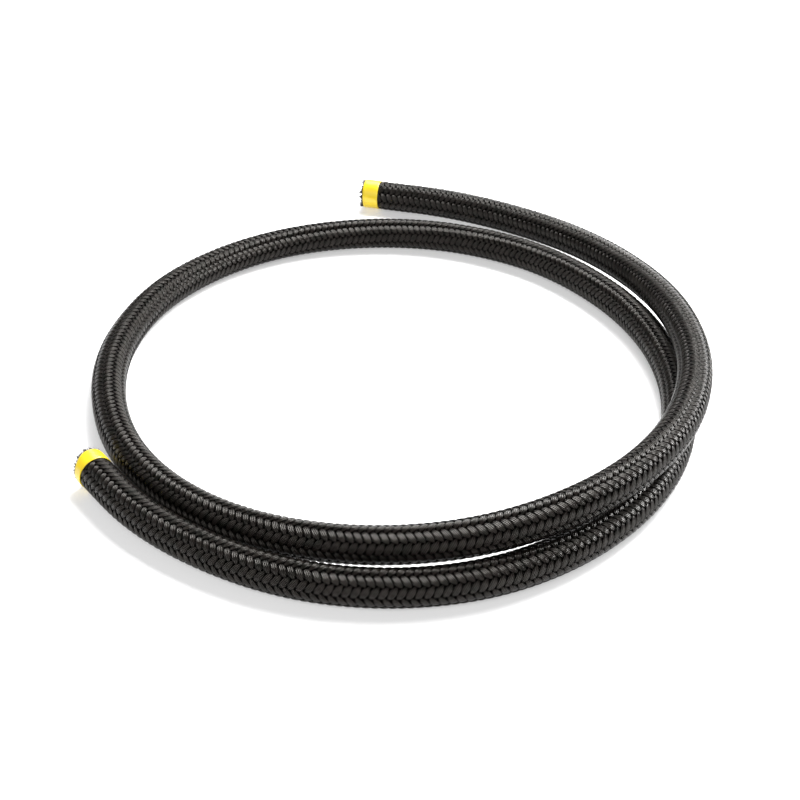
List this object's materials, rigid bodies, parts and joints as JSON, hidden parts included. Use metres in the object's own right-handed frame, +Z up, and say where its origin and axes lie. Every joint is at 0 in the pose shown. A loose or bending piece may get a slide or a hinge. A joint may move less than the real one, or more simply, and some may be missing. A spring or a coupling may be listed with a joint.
{
  "type": "braided hose",
  "caption": "Bare length of rubber fuel hose with a dark woven braid cover, lying in a loose coil, both cut ends bound with yellow tape.",
  "frame": {"origin": "on the floor below the middle of the coil's box", "axes": "+Z up, +Y along the coil's longest side towards the end that points outwards, +X to the right where one turn crosses over the other"},
  "size_m": [0.3906, 0.4914, 0.0448],
  "materials": {
    "tube_rubber": "matt black extruded rubber",
    "cover_braid": "herringbone braid of black nylon yarn with a soft sheen",
    "tape_yellow": "glossy yellow vinyl tape"
  },
  "bodies": {
    "root": {"rubber_tube": "tube_rubber", "braid_cover": "cover_braid", "end_tape_near": "tape_yellow", "end_tape_far": "tape_yellow"}
  },
  "joints": []
}
